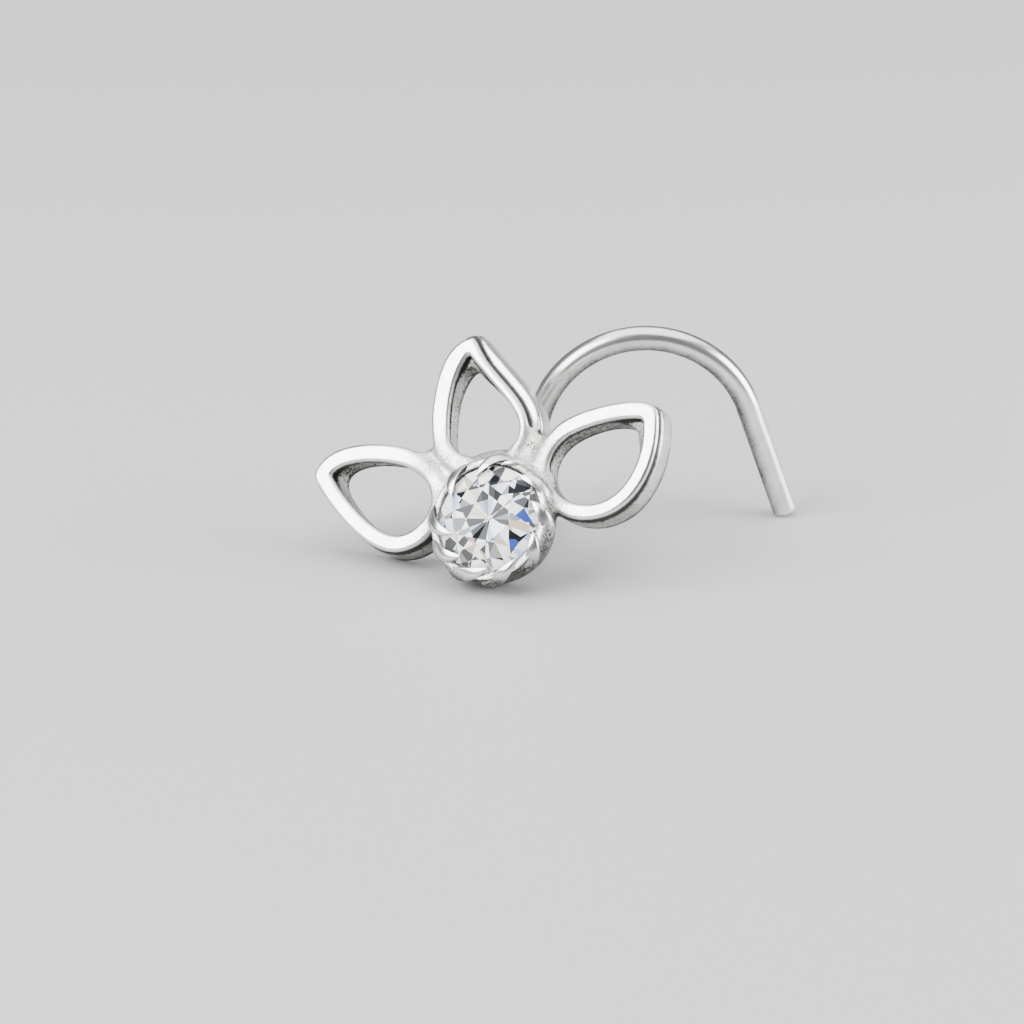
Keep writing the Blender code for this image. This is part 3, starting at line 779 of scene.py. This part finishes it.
def roundedCorner(before, corner, after, radius, steps=16):
    into = (corner - before) / np.linalg.norm(corner - before)
    away = (after - corner) / np.linalg.norm(after - corner)
    bend = math.acos(np.clip(into @ away, -1, 1))
    side = away - into * (into @ away)
    side /= np.linalg.norm(side)
    a = np.linspace(0, bend, steps)[:, None]
    start = corner - into * radius * math.tan(bend / 2)
    return start + radius * (into * np.sin(a) + side * (1 - np.cos(a)))


def wirePath():
    up, front = headAxes[:, 1], headAxes[:, 2]
    foot = headPlace / mm + up * wire["rise"]
    stubEnd = foot - front * wire["stub"]
    plane, left = stubEnd[1] + wire["postRun"], stubEnd[0] + wire["drift"]
    corner = np.array([left, plane, stubEnd[2]])
    hookStart = np.array([left, plane, wire["centreHeight"]])
    start = foot + front * wire["sink"]
    lean = math.radians(wire["lean"])
    a = math.pi - np.linspace(0, math.pi - lean, wire["hookSteps"])[:, None]
    centre = hookStart + (wire["hook"], 0, 0)
    arc = centre + wire["hook"] * np.hstack([np.cos(a), 0 * a, np.sin(a)])
    length = (arc[-1, 2] - wire["radius"] * math.sin(lean)) / math.cos(lean)
    down = np.array([math.sin(lean), 0, -math.cos(lean)])
    leg = arc[-1] + np.linspace(0, length, wire["legSteps"])[1:, None] * down
    return np.vstack([
        start, roundedCorner(start, stubEnd, corner, wire["stubBend"]),
        roundedCorner(stubEnd, corner, hookStart, wire["postBend"]), arc, leg,
    ])


def makeWire():
    path = wirePath()
    keep = np.concatenate([[True], np.linalg.norm(np.diff(path, axis=0), axis=1) > 1e-4])
    path = path[keep]
    along = np.gradient(path, axis=0)
    along[0], along[-1] = path[1] - path[0], path[-1] - path[-2]
    along /= np.linalg.norm(along, axis=1)[:, None]
    side = np.cross(along[0], (1.0, 0.0, 0.0))
    sides = []
    for direction in along:
        side = side - direction * (side @ direction)
        side /= np.linalg.norm(side)
        sides.append(side)
    sides = np.array(sides)
    others = np.cross(along, sides)
    bevel = np.array(wire["bevelBack"])
    tip = path[-1] - along[-1] * bevel[:, None]
    radius = np.concatenate([np.full(len(path) - 1, wire["radius"]),
                             wire["radius"] - np.array(wire["bevelIn"])])
    path = np.vstack([path[:-1], tip])
    sides = np.vstack([sides[:-1], np.repeat(sides[-1:], len(bevel), 0)])
    others = np.vstack([others[:-1], np.repeat(others[-1:], len(bevel), 0)])
    angle = np.linspace(0, 2 * math.pi, wire["sides"], endpoint=False)
    rings = path[:, None] + radius[:, None, None] * (
        np.cos(angle)[None, :, None] * sides[:, None] + np.sin(angle)[None, :, None] * others[:, None])
    faces = gridFaces(len(path), len(angle)) + endCaps(len(path), len(angle))
    facing = (rings - path[:, None]) / radius[:, None, None]
    middle = np.array([path[:, 0].mean(), path[-1, 1], wire["centreHeight"]])
    inwards = middle - path
    inwards /= np.linalg.norm(inwards, axis=1)[:, None]
    # painted shade: the hook's inside, facing its middle, is darkened
    inner = ramp((facing * inwards[:, None]).sum(2), *wire["inner"])
    marks = {"oxideAndShade": wire["innerShade"] * inner, "cast": wire["skin"] + wire["innerSkin"] * inner}
    return makePiece("hook_wire", rings.reshape(-1, 3) * mm, faces, silver,
                     "flower_hook_body", marks)


makeWire()
print("wire made")

# Studio: half the floor's width is in metres
studio = {
    "floor": (0.57, 0.57, 0.57, 1), "floorRough": 0.6, "floorHalf": 2.0,
    "world": (0.80, 0.82, 0.85, 1), "worldStrength": 0.22,
    "lights": {  # place and size in mm, watts
        "key": ((-120, -62, 104), 130, 0.54),
        "top": ((10, 25, 190), 270, 0.68),
        "right": ((125, -15, 46), 90, 0.30),
    },
}


def makeStudio():
    mesh = bpy.data.meshes.new("floor")
    half = studio["floorHalf"]
    corners = [(-half, -half, 0), (half, -half, 0), (half, half, 0), (-half, half, 0)]
    mesh.from_pydata(corners, [], [[0, 1, 2, 3]])
    material, shader, start = newMaterial("paleFloor", studio["floor"])
    feed(shader, start, Base_Color=studio["floor"], Roughness=studio["floorRough"])
    mesh.materials.append(material)
    floor = bpy.data.objects.new("floor", mesh)
    bpy.context.collection.objects.link(floor)
    world = bpy.data.worlds.new("studio")
    world.use_nodes = True
    world.node_tree.nodes["Background"].inputs[0].default_value = studio["world"]
    world.node_tree.nodes["Background"].inputs[1].default_value = studio["worldStrength"]
    bpy.context.scene.world = world
    for name, (place, size, power) in studio["lights"].items():
        light = bpy.data.lights.new(name, "AREA")
        light.size, light.energy = size * mm, power
        lamp = bpy.data.objects.new(name, light)
        lamp.location = Vector(place) * mm
        lamp.rotation_euler = (-lamp.location).to_track_quat("-Z", "Y").to_euler()
        bpy.context.collection.objects.link(lamp)


# Camera: place from the head's back in mm, how far it looks down and its angle of view in degrees,
# width of the sensor in mm, and nearest and furthest distance in metres
view = {"from": (0.05, -102.95, 42.12), "down": 22, "angle": 13.33, "sensor": 36, "clip": (0.005, 10)}


def makeCamera():
    camera = bpy.data.cameras.new("camera")
    camera.sensor_width = view["sensor"]
    camera.angle = math.radians(view["angle"])
    camera.clip_start, camera.clip_end = view["clip"]
    stand = bpy.data.objects.new("camera", camera)
    stand.location = Vector(headPlace) + Vector(view["from"]) * mm
    stand.rotation_euler = (math.radians(90 - view["down"]), 0, 0)
    bpy.context.collection.objects.link(stand)
    bpy.context.scene.camera = stand


makeStudio()
makeCamera()
print("studio made")
